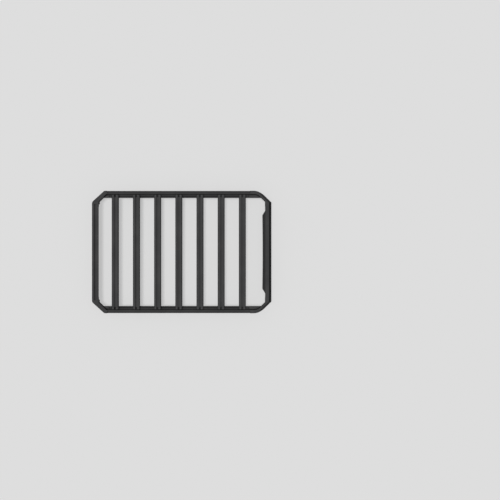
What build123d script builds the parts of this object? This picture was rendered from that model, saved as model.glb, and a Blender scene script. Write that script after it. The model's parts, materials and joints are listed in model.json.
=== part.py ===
from build123d import *
import math
import os

# Flat platform roof rack: extruded side rails with a ledge, cross slats resting on the ledge,
# cast corner pieces, end rails, a bent wind fairing and bracket feet on rubber pads.
# Millimetres. +X is the front, +Y the left side, +Z up. The pads stand on z = 0.

# Overall size
rack_length = 1720.0
rack_width = 1174.0

# Heights, built up from the floor
pad_thickness = 6.0
foot_height = 70.0
rail_height = 48.0
ledge_height = 18.0
slat_height = 28.0

# Fastener slot that every extrusion shares, and the holes for the bolts that go into it
slot_mouth = 9.0
slot_lip = 3.0
slot_cavity = 17.0
slot_depth = 8.0
bolt_hole_radius = 4.5

# Side rails
rail_wall = 2.5
slope_width = 21.5
slope_drop = 20.0
crest_width = 10.0
ledge_width = 33.5
ledge_slot_inset = 13.5
rail_edge_radius = 1.5

# Cross slats, spread evenly between the seams of the corner castings
slat_count = 7
rear_slat_inset = 76.0
front_slat_inset = 75.0
slat_width = 67.0
slat_base_width = 42.0
slat_side_height = 24.0
slat_wall = 2.2
slat_shoulder_width = 7.0
slat_shoulder_drop = 12.0
slat_shoulder_radius = 5.0
slat_channel_width = 19.0
slat_channel_depth = 13.0
slat_end_gap = 7.5
slat_notch_reach = 10.0
slat_edge_radius = 1.0

# Plugs in the slat ends
cap_thickness = 6.0
cap_corner_radius = 9.0
plug_depth = 12.0
plug_gap = 0.4

# Rear rail
rear_rail_width = 62.0
rear_lip_width = 22.0
rear_groove_width = 17.5
rear_groove_depth = 14.0
rear_undercut_width = 16.0
rear_undercut_height = 36.0
rear_slot_height = 20.0
end_rail_edge_radius = 2.0

# Front rail
front_rail_width = 60.0
nose_width = 24.5
corner_nose_width = 22.0
nose_foot_height = 4.0
fairing_slot_inset = 17.0

# Corner castings
corner_wall = 4.0
corner_top_thickness = 5.0
corner_edge_radius = 2.0
tongue_thickness = 4.0
tongue_slat_gap = 6.0
tongue_casting_gap = 5.0
rear_tongue_gap = 12.0
front_tongue_gap = 6.0
tongue_corner_radius = 10.0
sleeve_thickness = 2.0
sleeve_length = 28.0
sleeve_height = 10.0
spigot_length = 40.0
spigot_gap = 0.5

# Rear corners: the chamfer, then how far each side runs on from it to the seams
rear_chamfer_x = 118.0
rear_chamfer_y = 107.5
rear_side_run = 25.5
rear_end_run = 19.5
rear_corner_radius = 34.0
rear_inner_side_run = 7.5
rear_inner_end_run = 23.5
rear_inner_radius = 10.0

# Front corners, in the same way, and how far they stand in from the front rail
front_chamfer_x = 110.0
front_chamfer_y = 107.5
front_side_run = 94.5
front_end_run = 39.5
front_corner_radius = 160.0
front_inner_side_run = 69.0
front_inner_end_run = 45.0
front_inner_radius = 70.0
front_block_step = 1.5

# Wind fairing
fairing_thickness = 3.0
fairing_end_inset = 42.0
fairing_end_slant = 42.0
fairing_overhang = 23.5
fairing_rear_arch = 3.0
fairing_bend_inset = 18.0
fairing_lean = 10.0
fairing_drop = 54.0
fairing_bottom_arch = 8.0
fairing_corner_radius = 24.0
fairing_flange_radius = 12.0
fairing_bolt_count = 6
fairing_bolt_inset = 73.0
bend_radius = 3.0
trim_wall = 1.5
trim_grip = 8.0

# Feet
foot_length = 96.0
foot_base_length = 76.0
foot_width = 54.0
foot_side_inset = 4.0
foot_thickness = 5.0
foot_bolt_spread = 60.0
foot_corner_radius = 8.0

# How far a cutting shape runs past the face that it cuts, and how near counts as on a plane
cut_overrun = 1.0
on_plane = 0.01

# Levels worked out from the sizes above
half_length = rack_length / 2
half_width = rack_width / 2
rail_base = pad_thickness + foot_height
rail_top = rail_base + rail_height
ledge_top = rail_base + ledge_height
slat_top = ledge_top + slat_height
slot_reach = slot_lip + slot_depth

# Planes across the rack
wall_y = half_width - slope_width - crest_width
ledge_edge_y = wall_y - ledge_width
ledge_slot_y = ledge_edge_y + ledge_slot_inset
foot_slot_y = half_width - slot_reach - rail_wall - slot_cavity / 2 - rail_wall
slat_end_y = wall_y - slat_end_gap
slat_body_end_y = slat_end_y - cap_thickness
rear_rail_half = half_width - rear_chamfer_y - rear_end_run
front_rail_half = half_width - front_chamfer_y - front_end_run
fairing_half = front_rail_half - fairing_end_inset

# Planes along the rack
rear_seam_x = -half_length + rear_chamfer_x + rear_side_run
front_seam_x = half_length - front_chamfer_x - front_side_run
rear_rail_inner_x = -half_length + rear_rail_width
front_rail_inner_x = half_length - front_rail_width
fairing_slot_x = front_rail_inner_x + fairing_slot_inset
first_slat_x = rear_seam_x + rear_slat_inset
last_slat_x = front_seam_x - front_slat_inset
slat_pitch = (last_slat_x - first_slat_x) / (slat_count - 1)
slat_centres = [first_slat_x + index * slat_pitch for index in range(slat_count)]

# Feet stand under the middle slat and the second slat from each end
foot_places = {"rear": slat_centres[1], "middle": slat_centres[slat_count // 2], "front": slat_centres[-2]}


def rectangle(x_low, x_high, y_low, y_high):
    return Pos((x_low + x_high) / 2, (y_low + y_high) / 2) * Rectangle(x_high - x_low, y_high - y_low)


def polygon(*points):
    return make_face(Polyline(*points, close=True))


# Polygon with a radius at each corner, from pairs of a point and its radius
def rounded(corners):
    points = [point for point, radius in corners]
    radii = [radius for point, radius in corners]
    return make_face(FilletPolyline(*points, radius=radii, close=True))


def prism(face, low, high):
    return extrude(Pos(0, 0, low) * face, amount=high - low)


# Section in X and Z run along Y, from a plane towards the middle of the rack or to both sides of it
def inwards_y(section, start_y, length):
    return Pos(0, start_y, 0) * extrude(Plane.XZ * section, amount=length)


def along_y(section, half):
    return extrude(Plane.XZ * section, amount=half, both=True)


# Section in Y and Z run along X
def along_x(section, start_x, length):
    return Pos(start_x, 0, 0) * extrude(Plane.YZ * section, amount=length)


def bolt_hole(x, y, z, thickness):
    return Pos(x, y, z) * Cylinder(bolt_hole_radius, 2 * (thickness + cut_overrun))


def right_hand(part):
    return mirror(part, about=Plane.XZ)


# Fastener slot, drawn with its mouth on the local X axis and its cavity above it
def slot_void():
    mouth = rectangle(-slot_mouth / 2, slot_mouth / 2, -cut_overrun, slot_lip)
    cavity = rectangle(-slot_cavity / 2, slot_cavity / 2, slot_lip, slot_reach)
    return mouth + cavity


def slot_housing(wall):
    half = slot_cavity / 2 + wall
    return rectangle(-half, half, 0, slot_reach + wall)


# Section of an extrusion, and the hollow inside its walls, webs and slots
def extrusion_section(outline, wall, slot_places, webs=()):
    hollow = offset(outline, amount=-wall, kind=Kind.INTERSECTION)
    for place in slot_places:
        hollow = hollow - place * slot_housing(wall)
    for web in webs:
        hollow = hollow - web
    section = outline - hollow
    for place in slot_places:
        section = section - place * slot_void()
    return section, hollow


# Side rail in Y and Z, for the left rail
def side_rail_section():
    slope_foot = rail_top - slope_drop
    points = [
        (half_width, rail_base),
        (half_width, slope_foot),
        (half_width - slope_width, rail_top),
        (wall_y, rail_top),
        (wall_y, ledge_top),
        (ledge_edge_y, ledge_top),
        (ledge_edge_y, rail_base),
    ]
    outline = rounded([(point, rail_edge_radius) for point in points])
    outer_slot = Pos(half_width, (rail_base + slope_foot) / 2) * Rot(0, 0, 90)
    ledge_slot = Pos(ledge_slot_y, ledge_top) * Rot(0, 0, 180)
    foot_slot = Pos(foot_slot_y, rail_base)
    web = rectangle(wall_y, wall_y + rail_wall, rail_base, rail_top)
    return extrusion_section(outline, rail_wall, [outer_slot, ledge_slot, foot_slot], [web])


def side_rail():
    section, hollow = side_rail_section()
    return along_x(section, rear_seam_x, front_seam_x - rear_seam_x)


# Slat in X and Z about its own centre line
def slat_outline():
    half = slat_width / 2
    base = slat_base_width / 2
    channel = slat_channel_width / 2
    floor = slat_top - slat_channel_depth
    side_foot = slat_top - slat_side_height
    right = [
        ((base, ledge_top), slat_edge_radius),
        ((half, side_foot), slat_edge_radius),
        ((half, slat_top - slat_shoulder_drop), slat_shoulder_radius),
        ((half - slat_shoulder_width, slat_top), slat_shoulder_radius),
        ((channel, slat_top), slat_edge_radius),
        ((channel, floor), slat_edge_radius),
    ]
    left = [((-x, z), radius) for (x, z), radius in reversed(right)]
    return rounded(right + left)


def slat_section():
    inner = slot_cavity / 2
    floor = slat_top - slat_channel_depth
    web = rectangle(inner, inner + slat_wall, ledge_top, floor)
    webs = [web, mirror(web, about=Plane.YZ)]
    return extrusion_section(slat_outline(), slat_wall, [Pos(0, ledge_top)], webs)


# The notch at each end gives a bolt room to go down through the slat's own slot into the ledge
def slat():
    section, hollow = slat_section()
    inner = slot_cavity / 2
    round_end_y = ledge_slot_y - slat_notch_reach + inner
    notch_plan = Pos(0, round_end_y) * Circle(inner) + rectangle(-inner, inner, round_end_y, slat_end_y)
    notch = prism(notch_plan, ledge_top + slot_lip, slat_top)
    return along_y(section, slat_body_end_y) - notch - right_hand(notch)


# A pair of plugs closes the two hollow wings at one slat end and leaves the notch open
def slat_cap():
    section, hollow = slat_section()
    inner = slot_cavity / 2
    corners = RectangleRounded(slat_width, 2 * slat_end_y, cap_corner_radius)
    heads = inwards_y(slat_outline(), slat_end_y, cap_thickness) & prism(corners, ledge_top, slat_top)
    heads = heads - prism(rectangle(-inner, inner, slat_body_end_y, slat_end_y), ledge_top, slat_top)
    chambers = hollow.faces().sort_by(Axis.X)
    for wing in (chambers[0], chambers[-1]):
        insert = offset(wing, amount=-plug_gap, kind=Kind.INTERSECTION)
        heads = heads + inwards_y(insert, slat_body_end_y, plug_depth)
    return heads


def slat_caps():
    plugs = []
    for centre in slat_centres:
        plugs += (Pos(centre, 0, 0) * slat_cap()).solids()
    return Compound(children=plugs)


def rear_rail_section():
    rear_x = -half_length
    groove_start = rear_x + rear_lip_width
    groove_end = groove_start + rear_groove_width
    groove_floor = rail_top - rear_groove_depth
    points = [
        (rear_x, rail_base),
        (rear_rail_inner_x - rear_undercut_width, rail_base),
        (rear_rail_inner_x, rail_base + rear_undercut_height),
        (rear_rail_inner_x, rail_top),
        (groove_end, rail_top),
        (groove_end, groove_floor),
        (groove_start, groove_floor),
        (groove_start, rail_top),
        (rear_x, rail_top),
    ]
    outline = rounded([(point, end_rail_edge_radius) for point in points])
    rear_slot = Pos(rear_x, rail_base + rear_slot_height) * Rot(0, 0, -90)
    return extrusion_section(outline, rail_wall, [rear_slot])


def rear_rail():
    section, hollow = rear_rail_section()
    return along_y(section, rear_rail_half)


def front_rail_section():
    points = [
        (front_rail_inner_x, rail_base),
        (half_length, rail_base),
        (half_length, rail_base + nose_foot_height),
        (half_length - nose_width, rail_top),
        (front_rail_inner_x, rail_top),
    ]
    outline = rounded([(point, end_rail_edge_radius) for point in points])
    fairing_slot = Pos(fairing_slot_x, rail_base)
    return extrusion_section(outline, rail_wall, [fairing_slot])


def front_rail():
    section, hollow = front_rail_section()
    return along_y(section, front_rail_half)


# Corner casting: a band open from below, its top edges eased except where it meets a rail
def corner_band(outline, seam_x, seam_y, top_cuts, pocket_cuts):
    band = prism(outline, rail_base, rail_top)
    for cut in top_cuts:
        band = band - cut
    free_edges = []
    for edge in band.edges().group_by(Axis.Z)[-1]:
        middle = edge.center()
        if abs(middle.X - seam_x) > on_plane and abs(middle.Y - seam_y) > on_plane:
            free_edges.append(edge)
    band = fillet(free_edges, corner_edge_radius)
    pocket_plan = offset(outline, amount=-corner_wall)
    pocket = prism(pocket_plan, rail_base - cut_overrun, rail_top - corner_top_thickness)
    for cut in pocket_cuts:
        pocket = pocket - cut
    return band - pocket


# Lug beside the band: it closes the end of the ledge and carries a flat bolted tongue, which runs on
# over the ledge and stays clear of the band and of the rail's wall
def corner_lug(band_outline, plan, seam_x, tongue_end_x, wall_gap):
    tongue_level = ledge_top + tongue_thickness
    low_x = min(seam_x, tongue_end_x)
    high_x = max(seam_x, tongue_end_x)
    over_ledge = rectangle(low_x, high_x, ledge_edge_y, wall_y)
    end_corners = over_ledge.vertices().group_by(Axis.X)[0 if tongue_end_x < seam_x else -1]
    inner_corner = end_corners.sort_by(Axis.Y)[0]
    tongue_plan = plan + fillet(inner_corner, tongue_corner_radius)
    tongue_plan = tongue_plan - offset(band_outline, amount=tongue_casting_gap)
    tongue_plan = tongue_plan - rectangle(-half_length, half_length, wall_y - wall_gap, wall_y)
    tongue = prism(tongue_plan, ledge_top, tongue_level)
    hole = bolt_hole((low_x + high_x) / 2, ledge_slot_y, tongue_level, tongue_thickness)
    return prism(plan, rail_base, ledge_top) + tongue - hole


# Face of a spigot that fills the largest chamber of an extrusion, with room to slide in
def spigot_face(hollow):
    chamber = hollow.faces().sort_by(SortBy.AREA)[-1]
    return offset(chamber, amount=-spigot_gap, kind=Kind.INTERSECTION)


def rear_corner():
    rear_x = -half_length
    inner_x = rear_seam_x - rear_inner_side_run
    inner_y = rear_rail_half + rear_inner_end_run
    outline = rounded(
        [
            ((rear_x, rear_rail_half), 0),
            ((rear_x, half_width - rear_chamfer_y), rear_corner_radius),
            ((rear_x + rear_chamfer_x, half_width), rear_corner_radius),
            ((rear_seam_x, half_width), 0),
            ((rear_seam_x, wall_y), 0),
            ((inner_x, wall_y), rear_inner_radius),
            ((rear_rail_inner_x, inner_y), rear_inner_radius),
            ((rear_rail_inner_x, rear_rail_half), 0),
        ]
    )
    ledge_x = inner_x - (inner_x - rear_rail_inner_x) * ledge_width / (wall_y - inner_y)
    lug_plan = polygon(
        (inner_x, wall_y),
        (rear_seam_x, wall_y),
        (rear_seam_x, ledge_edge_y),
        (ledge_x, ledge_edge_y),
    )
    tongue_end_x = first_slat_x - slat_width / 2 - tongue_slat_gap
    sleeve_plan = rectangle(
        rear_rail_inner_x,
        rear_rail_inner_x + sleeve_thickness,
        rear_rail_half - sleeve_length,
        inner_y,
    )
    sleeve_top = rail_top - corner_edge_radius
    casting = corner_band(outline, rear_seam_x, rear_rail_half, [], [])
    casting = casting + corner_lug(outline, lug_plan, rear_seam_x, tongue_end_x, rear_tongue_gap)
    casting = casting + prism(sleeve_plan, sleeve_top - sleeve_height, sleeve_top)
    side_section, side_hollow = side_rail_section()
    rear_section, rear_hollow = rear_rail_section()
    casting = casting + along_x(spigot_face(side_hollow), rear_seam_x, spigot_length)
    return casting + inwards_y(spigot_face(rear_hollow), rear_rail_half, spigot_length)


# Wedge above the sloping nose face; the edge it starts from passes through the given point
def nose_wedge(point, outward, width, inset):
    plane = Plane(origin=(*point, 0), x_dir=(*outward, 0), z_dir=(outward[1], -outward[0], 0))
    nose_foot = rail_base + nose_foot_height
    run = width / (rail_top - nose_foot)
    profile = polygon(
        (-inset, nose_foot),
        (-inset - width - run * cut_overrun, rail_top + cut_overrun),
        (half_width, rail_top + cut_overrun),
        (half_width, nose_foot),
    )
    return extrude(plane * profile, amount=half_width, both=True)


def front_corner():
    vertex = (half_length, half_width - front_chamfer_y)
    chamfer_length = math.hypot(front_chamfer_x, front_chamfer_y)
    outward = (front_chamfer_y / chamfer_length, front_chamfer_x / chamfer_length)
    block_inner_x = front_rail_inner_x - front_block_step
    inner_x = front_seam_x + front_inner_side_run
    inner_y = front_rail_half + front_inner_end_run
    outline = rounded(
        [
            ((front_seam_x, half_width), 0),
            ((half_length - front_chamfer_x, half_width), front_corner_radius),
            (vertex, 0),
            ((half_length, front_rail_half), 0),
            ((block_inner_x, front_rail_half), 0),
            ((block_inner_x, inner_y), corner_wall),
            ((inner_x, wall_y), front_inner_radius),
            ((front_seam_x, wall_y), 0),
        ]
    )
    top_cuts = []
    pocket_cuts = []
    for direction, width in ((outward, corner_nose_width), ((1, 0), nose_width)):
        top_cuts.append(nose_wedge(vertex, direction, width, 0))
        pocket_cuts.append(nose_wedge(vertex, direction, width, corner_wall))
    ledge_x = inner_x + (block_inner_x - inner_x) * ledge_width / (wall_y - inner_y)
    lug_plan = polygon(
        (front_seam_x, wall_y),
        (inner_x, wall_y),
        (ledge_x, ledge_edge_y),
        (front_seam_x, ledge_edge_y),
    )
    tongue_end_x = last_slat_x + slat_width / 2 + tongue_slat_gap
    casting = corner_band(outline, front_seam_x, front_rail_half, top_cuts, pocket_cuts)
    casting = casting + corner_lug(outline, lug_plan, front_seam_x, tongue_end_x, front_tongue_gap)
    side_section, side_hollow = side_rail_section()
    front_section, front_hollow = front_rail_section()
    casting = casting + along_x(spigot_face(side_hollow), front_seam_x - spigot_length, spigot_length)
    return casting + inwards_y(spigot_face(front_hollow), front_rail_half, spigot_length)


# Fairing sheet section in X and Z: a flange under the front rail, bent down into a blade
def fairing_bend_x():
    return half_length - fairing_bend_inset


def blade_x(z):
    return fairing_bend_x() + fairing_lean * (rail_base - z) / fairing_drop


def blade_span(thickness):
    return thickness * math.hypot(fairing_lean, fairing_drop) / fairing_drop


def fairing_sheet():
    flange_rear = front_rail_inner_x - fairing_overhang - fairing_rear_arch
    low = rail_base - fairing_drop
    under = rail_base - fairing_thickness
    span = blade_span(fairing_thickness)
    section = rounded(
        [
            ((flange_rear, rail_base), 0),
            ((fairing_bend_x(), rail_base), bend_radius + fairing_thickness),
            ((blade_x(low), low), 0),
            ((blade_x(low) - span, low), 0),
            ((blade_x(under) - span, under), bend_radius),
            ((flange_rear, under), 0),
        ]
    )
    return along_y(section, fairing_half)


# Plan of the flange: arched rear edge and slanted ends
def fairing_plan():
    rear_x = front_rail_inner_x - fairing_overhang
    end_x = rear_x - fairing_rear_arch
    rear_half = fairing_half - fairing_end_slant
    edge = ThreePointArc((end_x, -rear_half), (rear_x, 0), (end_x, rear_half))
    rest = Polyline(
        (end_x, rear_half),
        (front_rail_inner_x, fairing_half),
        (half_length, fairing_half),
        (half_length, -fairing_half),
        (front_rail_inner_x, -fairing_half),
        (end_x, -rear_half),
    )
    plan = make_face(Curve() + edge + rest)
    return fillet(plan.vertices().group_by(Axis.X)[0], fairing_flange_radius)


# Front view of the blade in Y and Z, above a lower edge arched over the roof crown and moved by rise
def blade_front(rise):
    low = rail_base - fairing_drop + rise
    edge = ThreePointArc((-fairing_half, low), (0, low + fairing_bottom_arch), (fairing_half, low))
    rest = Polyline(
        (fairing_half, low),
        (fairing_half, rail_base),
        (-fairing_half, rail_base),
        (-fairing_half, low),
    )
    return make_face(Curve() + edge + rest)


def wind_fairing():
    front = blade_front(0)
    lower_corners = front.vertices().group_by(Axis.Y)[0]
    front = fillet(lower_corners, fairing_corner_radius)
    plan = prism(fairing_plan(), rail_base - fairing_drop, rail_base)
    sheet = fairing_sheet() & plan & along_x(front, 0, half_length)
    reach = fairing_half - fairing_bolt_inset
    for index in range(fairing_bolt_count):
        y = -reach + 2 * reach * index / (fairing_bolt_count - 1)
        sheet = sheet - bolt_hole(fairing_slot_x, y, rail_base, fairing_thickness)
    return sheet


# Rubber trim gripping the lower edge of the blade
def fairing_edge_trim():
    low = rail_base - fairing_drop - trim_wall
    high = rail_base - fairing_drop + fairing_bottom_arch + trim_grip
    span = blade_span(fairing_thickness + trim_wall)
    side = blade_span(trim_wall)
    strip = polygon(
        (blade_x(low) + side, low),
        (blade_x(high) + side, high),
        (blade_x(high) - span, high),
        (blade_x(low) - span, low),
    )
    half = fairing_half - fairing_corner_radius
    band = blade_front(-trim_wall) - blade_front(trim_grip)
    return (along_y(strip, half) & along_x(band, 0, half_length)) - fairing_sheet()


# Feet: a bent bracket, open inwards, on a rubber pad
def foot_span():
    outer = half_width - foot_side_inset
    return outer - foot_width, outer


def foot_bracket():
    inner, outer = foot_span()
    section = rounded(
        [
            ((inner, pad_thickness), 0),
            ((outer, pad_thickness), bend_radius + foot_thickness),
            ((outer, rail_base), bend_radius + foot_thickness),
            ((inner, rail_base), 0),
        ]
    )
    throat = rounded(
        [
            ((inner - cut_overrun, pad_thickness + foot_thickness), 0),
            ((outer - foot_thickness, pad_thickness + foot_thickness), bend_radius),
            ((outer - foot_thickness, rail_base - foot_thickness), bend_radius),
            ((inner - cut_overrun, rail_base - foot_thickness), 0),
        ]
    )
    body = along_x(section - throat, -foot_length / 2, foot_length)
    side = polygon(
        (-foot_base_length / 2, pad_thickness),
        (foot_base_length / 2, pad_thickness),
        (foot_length / 2, rail_base),
        (-foot_length / 2, rail_base),
    )
    foot = body & along_y(side, half_width)
    foot = foot - bolt_hole(0, (inner + outer) / 2, pad_thickness, foot_thickness)
    for shift in (-foot_bolt_spread / 2, foot_bolt_spread / 2):
        foot = foot - bolt_hole(shift, foot_slot_y, rail_base, foot_thickness)
    return foot


def foot_pad():
    inner, outer = foot_span()
    middle = (inner + outer) / 2
    plan = Pos(0, middle) * RectangleRounded(foot_base_length, foot_width, foot_corner_radius)
    return prism(plan, 0, pad_thickness) - bolt_hole(0, middle, pad_thickness, pad_thickness)


def write(name, part):
    export_step(part, f"parts/{name}.step")


def write_pair(name, left_part):
    write(f"{name}_left", left_part)
    write(f"{name}_right", right_hand(left_part))


def main():
    os.makedirs("parts", exist_ok=True)
    write_pair("side_rail", side_rail())
    write_pair("rear_corner", rear_corner())
    write_pair("front_corner", front_corner())
    write_pair("slat_caps", slat_caps())
    write("rear_rail", rear_rail())
    write("front_rail", front_rail())
    cross_slat = slat()
    for number, centre in enumerate(slat_centres, start=1):
        write(f"slat_{number}", Pos(centre, 0, 0) * cross_slat)
    write("wind_fairing", wind_fairing())
    write("fairing_edge_trim", fairing_edge_trim())
    for place, centre in foot_places.items():
        spot = Pos(centre, 0, 0)
        write_pair(f"{place}_foot", spot * foot_bracket())
        write_pair(f"{place}_foot_pad", spot * foot_pad())


main()
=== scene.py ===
import json
import math

import bmesh
import bpy
from mathutils import Matrix, Vector

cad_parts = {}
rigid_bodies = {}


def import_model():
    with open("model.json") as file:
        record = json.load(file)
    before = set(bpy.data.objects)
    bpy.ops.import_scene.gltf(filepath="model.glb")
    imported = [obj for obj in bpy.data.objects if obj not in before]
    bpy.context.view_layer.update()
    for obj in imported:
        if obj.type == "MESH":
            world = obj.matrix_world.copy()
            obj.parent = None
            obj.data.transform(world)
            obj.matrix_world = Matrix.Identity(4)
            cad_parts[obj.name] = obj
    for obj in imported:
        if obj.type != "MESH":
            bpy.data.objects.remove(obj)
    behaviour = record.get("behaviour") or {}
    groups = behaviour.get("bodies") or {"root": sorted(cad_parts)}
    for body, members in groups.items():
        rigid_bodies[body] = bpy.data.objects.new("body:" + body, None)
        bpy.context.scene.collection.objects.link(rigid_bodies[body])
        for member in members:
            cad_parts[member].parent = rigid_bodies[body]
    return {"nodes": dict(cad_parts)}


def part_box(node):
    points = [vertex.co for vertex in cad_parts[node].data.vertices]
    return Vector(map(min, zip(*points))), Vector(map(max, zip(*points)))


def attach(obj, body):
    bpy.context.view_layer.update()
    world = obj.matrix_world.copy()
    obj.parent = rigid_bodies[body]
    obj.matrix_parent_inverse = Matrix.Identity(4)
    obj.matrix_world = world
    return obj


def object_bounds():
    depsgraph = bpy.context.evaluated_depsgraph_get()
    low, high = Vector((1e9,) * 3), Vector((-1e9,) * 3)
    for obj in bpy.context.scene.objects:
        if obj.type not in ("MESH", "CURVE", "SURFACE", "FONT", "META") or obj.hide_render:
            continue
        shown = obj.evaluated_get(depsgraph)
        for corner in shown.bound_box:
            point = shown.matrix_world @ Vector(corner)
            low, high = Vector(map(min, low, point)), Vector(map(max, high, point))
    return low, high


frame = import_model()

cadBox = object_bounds()
cadNodes = frame["nodes"]
sceneItems = bpy.context.scene.collection.objects
leftRight = (1, -1)  # signs of y on the two sides
print("frame loaded with", len(cadNodes), "CAD nodes")


class Wire:  # one socket, so that shader maths reads as a plain sum
    def __init__(self, tree, socket=None):
        self.tree = tree
        self.socket = socket

    def node(self, kind, settings, sockets, out=0):  # settings first, then values and links
        made = self.tree.nodes.new(kind)
        for key, value in settings.items():
            setattr(made, key, value)
        for key, value in sockets.items():
            if isinstance(value, Wire):
                self.tree.links.new(value.socket, made.inputs[key])
            else:
                made.inputs[key].default_value = value
        return Wire(self.tree, made.outputs[out] if made.outputs else None)

    def maths(self, operation, first, second):
        return self.node("ShaderNodeMath", {"operation": operation}, {0: first, 1: second})

    def __add__(self, other):
        return self.maths("ADD", self, other)

    def __radd__(self, other):
        return self.maths("ADD", other, self)

    def __sub__(self, other):
        return self.maths("SUBTRACT", self, other)

    def __rsub__(self, other):
        return self.maths("SUBTRACT", other, self)

    def __mul__(self, other):
        return self.maths("MULTIPLY", self, other)

    def __rmul__(self, other):
        return self.maths("MULTIPLY", other, self)


noiseMiddle = 0.5  # a noise texture swings about this value
mixFactor, mixUnder, mixOver, mixResult = 0, 6, 7, 2  # places of a Mix node's colour sockets


def newFinish(name):
    finish = bpy.data.materials.new(name)
    finish.use_nodes = True
    finish.node_tree.nodes.clear()
    return finish, Wire(finish.node_tree)


def objectPlace(wire):
    return wire.node("ShaderNodeTexCoord", {}, {}, "Object")


def noise(wire, place, scale, detail=2.0, roughness=0.5):
    sockets = {"Vector": place, "Scale": scale, "Detail": detail, "Roughness": roughness}
    return wire.node("ShaderNodeTexNoise", {}, sockets)


def stretched(wire, place, scale):
    return wire.node("ShaderNodeMapping", {}, {"Vector": place, "Scale": scale})


def ease(wire, value, low, high):  # 0 below low, 1 above high, smooth between
    sockets = {"Value": value, "From Min": low, "From Max": high}
    return wire.node("ShaderNodeMapRange", {"interpolation_type": "SMOOTHSTEP"}, sockets)


def blendColour(wire, factor, under, over):
    if not isinstance(under, Wire):
        under = (*under, 1)
    sockets = {mixFactor: factor, mixUnder: under, mixOver: (*over, 1)}
    return wire.node("ShaderNodeMix", {"data_type": "RGBA"}, sockets, mixResult)


def facing(wire, axis):  # how far a face looks along an axis
    normal = wire.node("ShaderNodeNewGeometry", {}, {}, "Normal")
    return wire.node("ShaderNodeSeparateXYZ", {}, {0: normal}, axis)


def closeFinish(wire, colour, roughness, height, bumpDepth, fixed):
    normal = wire.node("ShaderNodeBump", {}, {"Strength": 1.0, "Distance": bumpDepth, "Height": height})
    sockets = {"Base Color": colour, "Roughness": roughness, "Normal": normal, **fixed}
    shader = wire.node("ShaderNodeBsdfPrincipled", {}, sockets)
    wire.node("ShaderNodeOutputMaterial", {}, {"Surface": shader})


def powderCoat(name, coat):  # black powder coat: fine grain, orange peel, draw lines, dust and rub marks, with painted shade on forward faces and in corners
    finish, wire = newFinish(name)
    place = objectPlace(wire)
    grain = noise(wire, place, coat["grainScale"])
    peel = noise(wire, place, coat["peelScale"])
    cloud = noise(wire, place, coat["cloudScale"], coat["cloudDetail"])
    lines = noise(wire, stretched(wire, place, coat["lineStretch"]), coat["lineScale"])
    rubs = noise(wire, stretched(wire, place, coat["rubStretch"]), coat["rubScale"], *coat["rubDetail"])
    up = facing(wire, "Z")
    dust = ease(wire, up, *coat["dustFacing"]) * ease(wire, cloud, *coat["dustPatches"])
    worn = ease(wire, up, *coat["rubFacing"]) * ease(wire, rubs, *coat["rubPatches"])
    tone = coat["cloudShare"] * cloud + coat["peelShare"] * peel + coat["grainShare"] * grain
    colour = blendColour(wire, ease(wire, tone, *coat["toneRange"]), coat["dark"], coat["light"])
    colour = blendColour(wire, dust * coat["dust"], colour, coat["dustColour"])
    colour = blendColour(wire, worn * coat["rub"], colour, coat["rubColour"])
    if coat["nose"]:  # painted shade: faces that look forward, such as the sloping front, are painted a deeper black than the flat tops
        forward = ease(wire, facing(wire, "X"), *coat["noseFacing"])
        colour = blendColour(wire, forward * coat["nose"], colour, coat["noseColour"])
    if coat["cornerShade"]:  # painted shade: an ambient occlusion mask paints corners and crevices darker
        settings = {"samples": coat["cornerShadeSamples"]}
        openness = wire.node("ShaderNodeAmbientOcclusion", settings, {"Distance": coat["cornerShadeReach"]}, "AO")
        shadedCorners = ease(wire, 1 - openness, *coat["cornerShadeRange"])
        colour = blendColour(wire, shadedCorners * coat["cornerShade"], colour, coat["cornerShadeColour"])
    roughness = coat["rough"] + (grain - noiseMiddle) * coat["grainRough"]
    roughness = roughness + dust * coat["dustRough"] - worn * coat["rubPolish"]
    height = grain * coat["grainHeight"] + peel * coat["peelHeight"] + lines * coat["lineHeight"]
    closeFinish(wire, colour, roughness, height, coat["bumpDepth"], {"Specular IOR Level": coat["gloss"]})
    return finish


def dress(names, finish):
    for name in names:
        for slot in cadNodes[name].material_slots:
            slot.material = finish


def bothSides(*names):
    return [f"{name}_{side}" for name in names for side in ("left", "right")]


# a pair such as dustFacing gives where an effect begins and where it is full
railCoat = {
    "dark": (0.0355, 0.0355, 0.0362),
    "light": (0.0490, 0.0490, 0.0498),
    "toneRange": (0.34, 0.66),
    "cloudShare": 0.2,
    "peelShare": 0.4,
    "grainShare": 0.4,
    "dust": 0.05,
    "dustColour": (0.16, 0.156, 0.148),
    "dustFacing": (0.55, 0.95),  # how far up a face looks before dust lies on it
    "dustPatches": (0.42, 0.72),
    "dustRough": 0.06,
    "rub": 0.05,
    "rubColour": (0.12, 0.12, 0.122),
    "rubFacing": (0.9, 0.99),  # only flat tops get rubbed
    "rubPatches": (0.6, 0.78),
    "rubPolish": 0.1,
    "rubStretch": (0.05, 1.0, 1.0),
    "rubScale": 70.0,
    "rubDetail": (4.0, 0.6),  # detail and roughness of the noise
    # painted shade on forward-facing faces, off on the side rails
    "nose": 0.0,
    "noseColour": (0.010, 0.010, 0.0103),
    "noseFacing": (0.74, 0.86),  # how far forward a face looks before it gets the painted shade
    # painted shade in corners and crevices
    "cornerShade": 0.5,
    "cornerShadeColour": (0.006, 0.006, 0.0061),
    "cornerShadeReach": 0.014,
    "cornerShadeRange": (0.1, 0.45),
    "cornerShadeSamples": 8,
    "rough": 0.66,
    "grainRough": 0.14,
    "gloss": 0.02,
    "grainScale": 1300.0,
    "grainHeight": 1.0,
    "peelScale": 230.0,
    "peelHeight": 1.4,
    "cloudScale": 7.0,
    "cloudDetail": 3.0,
    "lineStretch": (0.006, 1.0, 1.0),  # draw lines run along the rail
    "lineScale": 420.0,
    "lineHeight": 0.7,
    "bumpDepth": 0.00006,
}
dress(bothSides("side_rail"), powderCoat("side_rail_coat", railCoat))

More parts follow.
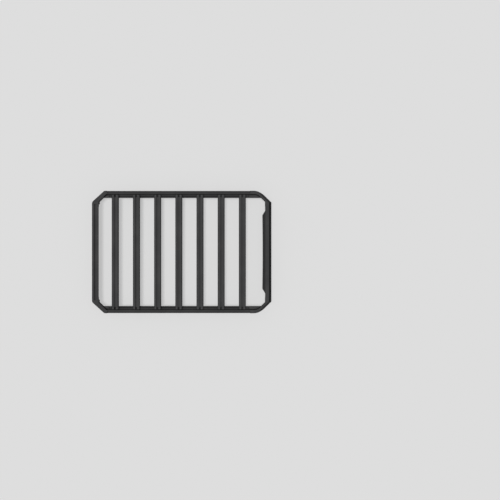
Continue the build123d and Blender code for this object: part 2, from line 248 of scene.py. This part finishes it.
endRailCoat = dict(
    railCoat,
    dark=(0.040, 0.040, 0.0408),
    light=(0.055, 0.055, 0.0558),
    lineStretch=(1.0, 0.006, 1.0),
    rubStretch=(1.0, 0.05, 1.0),
    # no painted corner shade on these parts
    cornerShade=0.0,
)
dress(["rear_rail"], powderCoat("rear_rail_coat", endRailCoat))

# the front rail gets painted shade on its sloping front face
noseCoat = dict(endRailCoat, nose=0.9)
dress(["front_rail"], powderCoat("front_rail_coat", noseCoat))

slatCount = 7
slatNames = [f"slat_{index + 1}" for index in range(slatCount)]  # from the rear to the front
slatCoat = dict(
    endRailCoat,
    dark=(0.044, 0.044, 0.0448),
    light=(0.060, 0.060, 0.061),
    rubStretch=(0.07, 1.0, 1.0),  # loads slide along the rack, across the slats
    rubScale=110.0,
    rub=0.07,
)
dress(slatNames, powderCoat("slat_coat", slatCoat))

castingCoat = dict(
    railCoat,
    dark=(0.040, 0.040, 0.0408),
    light=(0.060, 0.060, 0.061),
    # strong painted shade in the castings' corners
    cornerShade=0.85,
    grainScale=620.0,
    peelScale=150.0,
    lineStretch=(1.0, 1.0, 1.0),
    lineScale=60.0,
    rubStretch=(0.4, 0.4, 1.0),
    bumpDepth=0.00009,
)
dress(bothSides("rear_corner"), powderCoat("rear_casting_coat", castingCoat))

# the front castings get painted shade on their forward-facing faces
frontCastingCoat = dict(castingCoat, nose=0.9, noseFacing=(0.4, 0.8))
dress(bothSides("front_corner"), powderCoat("front_casting_coat", frontCastingCoat))

fairingCoat = dict(
    endRailCoat,
    dark=(0.028, 0.028, 0.0286),
    light=(0.038, 0.038, 0.0387),
    rough=0.56,
    lineHeight=0.2,
    peelHeight=2.0,
    rub=0.03,
)
dress(["wind_fairing"], powderCoat("fairing_coat", fairingCoat))

footNames = bothSides("rear_foot", "middle_foot", "front_foot")
footCoat = dict(
    railCoat,
    dark=(0.026, 0.026, 0.0265),
    light=(0.038, 0.038, 0.0386),
    lineStretch=(1.0, 1.0, 1.0),
    lineScale=90.0,
    rub=0.12,
)
dress(footNames, powderCoat("foot_coat", footCoat))
print("powder coat on rails, slats, castings, fairing and feet")

capPlastic = {
    "dark": (0.046, 0.046, 0.0468),
    "light": (0.064, 0.064, 0.065),
    "toneRange": (0.3, 0.7),
    "flowShare": 0.7,
    "sparkShare": 0.3,
    "rough": 0.58,
    "flowRough": 0.16,
    "gloss": 0.12,
    "sparkScale": 900.0,  # spark-eroded mould texture
    "flowScale": 60.0,  # flow marks of the moulding
    "flowDetail": 3.0,
    "flowHeight": 0.3,
    "bumpDepth": 0.00007,
}


def mouldedPlastic(name, look):
    finish, wire = newFinish(name)
    place = objectPlace(wire)
    spark = wire.node("ShaderNodeTexVoronoi", {}, {"Vector": place, "Scale": look["sparkScale"]}, "Distance")
    flow = noise(wire, place, look["flowScale"], look["flowDetail"])
    tone = look["flowShare"] * flow + look["sparkShare"] * spark
    colour = blendColour(wire, ease(wire, tone, *look["toneRange"]), look["dark"], look["light"])
    roughness = look["rough"] + (flow - noiseMiddle) * look["flowRough"]
    height = spark + flow * look["flowHeight"]
    closeFinish(wire, colour, roughness, height, look["bumpDepth"], {"Specular IOR Level": look["gloss"]})
    return finish


dress(bothSides("slat_caps"), mouldedPlastic("cap_plastic", capPlastic))

padRubber = {
    "dark": (0.014, 0.014, 0.0142),
    "light": (0.026, 0.0258, 0.0254),
    "toneRange": (0.35, 0.7),
    "bloomShare": 0.7,
    "grainShare": 0.3,
    "rough": 0.78,
    "bloomRough": 0.2,
    "gloss": 0.3,
    "grainScale": 700.0,
    "bloomScale": 35.0,  # pale bloom that rubber gets with age
    "bloomDetail": (4.0, 0.6),  # detail and roughness of the noise
    "ribScale": 260.0,  # moulded ribs round the pad
    "ribHeight": 0.5,
    "bumpDepth": 0.00016,
}
trimRubber = dict(padRubber, rough=0.6, ribScale=90.0, ribHeight=0.15, bumpDepth=0.00008)


def rubber(name, look):
    finish, wire = newFinish(name)
    place = objectPlace(wire)
    grain = noise(wire, place, look["grainScale"])
    bloom = noise(wire, place, look["bloomScale"], *look["bloomDetail"])
    ribSockets = {"Vector": place, "Scale": look["ribScale"]}
    ribs = wire.node("ShaderNodeTexWave", {"bands_direction": "Z"}, ribSockets)
    tone = look["bloomShare"] * bloom + look["grainShare"] * grain
    colour = blendColour(wire, ease(wire, tone, *look["toneRange"]), look["dark"], look["light"])
    roughness = look["rough"] + (bloom - noiseMiddle) * look["bloomRough"]
    height = grain + ribs * look["ribHeight"]
    closeFinish(wire, colour, roughness, height, look["bumpDepth"], {"Specular IOR Level": look["gloss"]})
    return finish


dress(bothSides("rear_foot_pad", "middle_foot_pad", "front_foot_pad"), rubber("pad_rubber", padRubber))
dress(["fairing_edge_trim"], rubber("trim_rubber", trimRubber))
print("plastic caps and rubber done")

boltZinc = {
    "dark": (0.011, 0.011, 0.0115),
    "light": (0.024, 0.024, 0.025),
    "toneRange": (0.35, 0.7),
    "rough": 0.46,
    "mottleRough": 0.3,
    "metallic": 0.7,
    "mottleScale": 320.0,
    "mottleDetail": 3.0,
    "grainScale": 2400.0,
    "bumpDepth": 0.00002,
}


def blackZinc(name, look):
    finish, wire = newFinish(name)
    place = objectPlace(wire)
    mottle = noise(wire, place, look["mottleScale"], look["mottleDetail"])
    grain = noise(wire, place, look["grainScale"])
    colour = blendColour(wire, ease(wire, mottle, *look["toneRange"]), look["dark"], look["light"])
    roughness = look["rough"] + (mottle - noiseMiddle) * look["mottleRough"]
    closeFinish(wire, colour, roughness, grain, look["bumpDepth"], {"Metallic": look["metallic"]})
    return finish


zincFinish = blackZinc("bolt_zinc", boltZinc)

bolt = {
    "segments": 24,
    "headRadius": 0.0068,  # under the head
    "headRings": [  # radius and height, going up the dome
        (0.0070, 0.0012),
        (0.0066, 0.0026),
        (0.0057, 0.0037),
        (0.0044, 0.0044),
    ],
    "socketSides": 6,
    "socketRadius": 0.0029,
    "socketDepth": 0.0026,
    "shankRadius": 0.0039,
    "shankLength": 0.0125,
    "shankChamfer": 0.0008,
    "washerHole": 0.0042,
    "washerRadius": 0.0079,
    "washerThickness": 0.0016,
    "sharpAngle": 0.6,  # a steeper edge than this stays crisp
    "mergeDistance": 0.00001,
}


def ringEdges(bm, verts):  # the edges that join these verts
    ring = set(verts)
    return [edge for edge in bm.edges if edge.verts[0] in ring and edge.verts[1] in ring]


def growRing(bm, edges, radiusChange, rise):  # next ring of a turned shape
    grown = bmesh.ops.extrude_edge_only(bm, edges=edges)["geom"]
    verts = [item for item in grown if isinstance(item, bmesh.types.BMVert)]
    bmesh.ops.scale(bm, vec=(radiusChange, radiusChange, 1), verts=verts)
    bmesh.ops.translate(bm, vec=(0, 0, rise), verts=verts)
    return ringEdges(bm, verts)


def addCircle(bm, segments, radius, height):
    verts = bmesh.ops.create_circle(bm, segments=segments, radius=radius)["verts"]
    bmesh.ops.translate(bm, vec=(0, 0, height), verts=verts)
    return ringEdges(bm, verts)


def addButtonHead(bm, seat):  # domed head with a hex socket; gives back the ring under it
    underHead = addCircle(bm, bolt["segments"], bolt["headRadius"], seat)
    ring, radius, level = underHead, bolt["headRadius"], 0.0
    for nextRadius, nextLevel in bolt["headRings"]:
        ring = growRing(bm, ring, nextRadius / radius, nextLevel - level)
        radius, level = nextRadius, nextLevel
    hexagon = addCircle(bm, bolt["socketSides"], bolt["socketRadius"], seat + level)
    bmesh.ops.bridge_loops(bm, edges=ring + hexagon)
    socketFloor = growRing(bm, hexagon, 1.0, -bolt["socketDepth"])
    bmesh.ops.edgeloop_fill(bm, edges=socketFloor)
    return underHead


def addButtonBolt(bm):  # head on its washer, shank down
    seat = bolt["washerThickness"]
    underHead = addButtonHead(bm, seat)
    shankTop = addCircle(bm, bolt["segments"], bolt["shankRadius"], seat)
    bmesh.ops.bridge_loops(bm, edges=underHead + shankTop)
    chamfer = bolt["shankChamfer"]
    shankEnd = growRing(bm, shankTop, 1.0, chamfer - bolt["shankLength"])
    shankEnd = growRing(bm, shankEnd, 1 - chamfer / bolt["shankRadius"], -chamfer)
    bmesh.ops.edgeloop_fill(bm, edges=shankEnd)


def addWasher(bm):  # its section, spun round the shank
    inner, outer, thick = bolt["washerHole"], bolt["washerRadius"], bolt["washerThickness"]
    section = ((inner, 0), (outer, 0), (outer, thick), (inner, thick))
    corners = [bm.verts.new((x, 0, z)) for x, z in section]
    sides = [bm.edges.new((corners[index - 1], corners[index])) for index in range(len(corners))]
    fullTurn = {"angle": 2 * math.pi, "steps": bolt["segments"], "use_merge": True}
    bmesh.ops.spin(bm, geom=corners + sides, cent=(0, 0, 0), axis=(0, 0, 1), **fullTurn)


def addBoltOnWasher(bm):
    addButtonBolt(bm)
    addWasher(bm)


def addLowScrew(bm):  # only the head of a small screw stands out of its hole
    bmesh.ops.edgeloop_fill(bm, edges=addButtonHead(bm, 0.0))


upright = Matrix.Identity(4)
headDown = Matrix.Rotation(math.pi, 4, "X")


def boltSet(name, places, addOne, shape):
    bm = bmesh.new()
    for place in places:
        old = set(bm.verts)
        addOne(bm)
        fresh = [vert for vert in bm.verts if vert not in old]
        bmesh.ops.transform(bm, matrix=Matrix.Translation(place) @ shape, verts=fresh)
    bmesh.ops.remove_doubles(bm, verts=bm.verts, dist=bolt["mergeDistance"])
    bmesh.ops.recalc_face_normals(bm, faces=bm.faces)
    for face in bm.faces:
        face.smooth = True
    for edge in bm.edges:
        edge.smooth = edge.calc_face_angle(0) < bolt["sharpAngle"]
    mesh = bpy.data.meshes.new(name)
    bm.to_mesh(mesh)
    bm.free()
    mesh.materials.append(zincFinish)
    piece = bpy.data.objects.new(name, mesh)
    sceneItems.link(piece)
    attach(piece, "root")
    print(name, "has", len(places), "bolts")


railLow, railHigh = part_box("side_rail_left")

# one bolt through each slat end into the slot along the ledge
slatBolts = {"slotInset": 0.0135, "slotLip": 0.003}
ledgeSlotY = railLow.y + slatBolts["slotInset"]
slatPlaces = []
for name in slatNames:
    low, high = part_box(name)
    for side in leftRight:
        slatPlaces.append(Vector(((low.x + high.x) / 2, side * ledgeSlotY, low.z + slatBolts["slotLip"])))
boltSet("slat_bolts", slatPlaces, addBoltOnWasher, upright)

# one bolt in the middle of each corner's tongue, between the seam and the nearest slat
tongueBolts = {"slatGap": 0.006, "thickness": 0.004}
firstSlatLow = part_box(slatNames[0])[0]
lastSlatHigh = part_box(slatNames[-1])[1]
tongueZ = firstSlatLow.z + tongueBolts["thickness"]
rearTongueX = (railLow.x + firstSlatLow.x - tongueBolts["slatGap"]) / 2
frontTongueX = (railHigh.x + lastSlatHigh.x + tongueBolts["slatGap"]) / 2
tonguePlaces = []
for x in (rearTongueX, frontTongueX):
    for side in leftRight:
        tonguePlaces.append(Vector((x, side * ledgeSlotY, tongueZ)))
boltSet("tongue_bolts", tonguePlaces, addBoltOnWasher, upright)

# small screws on the crest beside the rear seams; width and height are shares of a bolt's head
seamScrews = {"width": 0.56, "height": 0.34, "pastSeam": 0.0098, "crestInset": 0.0261}
lowHead = Matrix.Diagonal((seamScrews["width"], seamScrews["width"], seamScrews["height"], 1))
seamX = railLow.x + seamScrews["pastSeam"]
seamY = railHigh.y - seamScrews["crestInset"]
seamPlaces = [Vector((seamX, side * seamY, railHigh.z)) for side in leftRight]
boltSet("seam_screws", seamPlaces, addLowScrew, lowHead)

# two bolts up through each foot's flange into the slot under the rail
footBolts = {"slotInset": 0.0245, "spread": 0.060, "flange": 0.005}
footPlaces = []
for name in footNames:
    low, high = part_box(name)
    side = 1 if low.y > 0 else -1
    y = side * (railHigh.y - footBolts["slotInset"])
    for end in (-1, 1):  # rear and front of the foot
        x = (low.x + high.x) / 2 + end * footBolts["spread"] / 2
        footPlaces.append(Vector((x, y, high.z - footBolts["flange"])))
boltSet("foot_bolts", footPlaces, addBoltOnWasher, headDown)

# a row of bolts up through the fairing's flange into the front rail
fairingBolts = {"count": 6, "slotInset": 0.017, "endInset": 0.073, "sheet": 0.003}
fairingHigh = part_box("wind_fairing")[1]
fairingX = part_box("front_rail")[0].x + fairingBolts["slotInset"]
fairingZ = fairingHigh.z - fairingBolts["sheet"]
fairingReach = fairingHigh.y - fairingBolts["endInset"]
fairingPlaces = []
for index in range(fairingBolts["count"]):
    y = fairingReach * (2 * index / (fairingBolts["count"] - 1) - 1)
    fairingPlaces.append(Vector((fairingX, y, fairingZ)))
boltSet("fairing_bolts", fairingPlaces, addBoltOnWasher, headDown)

studio = {
    "floorSize": 60.0,
    "floorSeen": 0.72,  # grey of the floor in the picture
    "floorGlow": 0.6,  # share of that grey that shadows leave alone
    "floorBounce": 0.6,  # grey of the floor as a source of bounced light
    "skySeen": 0.86,
    "skyLevel": 0.4,
    "keyStrength": 2.0,
    "keyAngle": 18.0,  # degrees across the lamp, for soft shadows
    "keyTilt": 4.0,  # degrees, leaning a little from the rear
    "cameraDrop": 5.0,  # camera height over the top of the rack
    "frameWidth": 4.788,  # width of the picture at the top of the rack
    "aimX": 0.654,
    "aimY": 0.0194,
}


def grey(level):
    return (level, level, level, 1)


def seenDirectly(wire):  # camera, glossy and transmission rays get the pale background
    rays = ("Is Camera Ray", "Is Glossy Ray", "Is Transmission Ray")
    fromCamera, glossy, through = [wire.node("ShaderNodeLightPath", {}, {}, ray) for ray in rays]
    return ease(wire, fromCamera + glossy + through, 0.0, 1.0)


def mixShaders(wire, factor, first, second):
    return wire.node("ShaderNodeMixShader", {}, {0: factor, 1: first, 2: second})


def floorPaint():
    finish, wire = newFinish("studio_floor")
    bounced = wire.node("ShaderNodeBsdfDiffuse", {}, {"Color": grey(studio["floorBounce"])})
    shaded = wire.node("ShaderNodeBsdfDiffuse", {}, {"Color": grey(studio["floorSeen"])})
    glow = wire.node("ShaderNodeEmission", {}, {"Color": grey(studio["floorSeen"])})
    seen = mixShaders(wire, studio["floorGlow"], shaded, glow)
    above = mixShaders(wire, seenDirectly(wire), bounced, seen)
    fromBelow = wire.node("ShaderNodeNewGeometry", {}, {}, "Backfacing")
    clear = wire.node("ShaderNodeBsdfTransparent", {}, {})  # so that views from below show the underside
    wire.node("ShaderNodeOutputMaterial", {}, {"Surface": mixShaders(wire, fromBelow, above, clear)})
    return finish


def layFloor():
    bm = bmesh.new()
    bmesh.ops.create_grid(bm, x_segments=1, y_segments=1, size=studio["floorSize"] / 2)
    mesh = bpy.data.meshes.new("studio_floor")
    bm.to_mesh(mesh)
    bm.free()
    mesh.materials.append(floorPaint())
    floor = bpy.data.objects.new("studio_floor", mesh)
    sceneItems.link(floor)


def hangSky():
    world = bpy.data.worlds.new("studio_sky")
    world.use_nodes = True
    world.node_tree.nodes.clear()
    bpy.context.scene.world = world
    wire = Wire(world.node_tree)
    light = wire.node("ShaderNodeBackground", {}, {"Color": grey(1), "Strength": studio["skyLevel"]})
    seen = wire.node("ShaderNodeBackground", {}, {"Color": grey(1), "Strength": studio["skySeen"]})
    wire.node("ShaderNodeOutputWorld", {}, {"Surface": mixShaders(wire, seenDirectly(wire), light, seen)})


def hangKeyLight():
    lamp = bpy.data.lights.new("key_light", "SUN")
    lamp.energy = studio["keyStrength"]
    lamp.angle = math.radians(studio["keyAngle"])
    key = bpy.data.objects.new("key_light", lamp)
    key.rotation_euler = (0, -math.radians(studio["keyTilt"]), 0)
    sceneItems.link(key)


def setCamera():  # straight down
    cameraData = bpy.data.cameras.new("camera")
    cameraData.lens = cameraData.sensor_width * studio["cameraDrop"] / studio["frameWidth"]
    camera = bpy.data.objects.new("camera", cameraData)
    camera.location = (studio["aimX"], studio["aimY"], cadBox[1].z + studio["cameraDrop"])
    sceneItems.link(camera)
    bpy.context.scene.camera = camera


layFloor()
hangSky()
hangKeyLight()
setCamera()
bpy.context.scene.view_settings.view_transform = "Standard"
print("studio and camera ready")
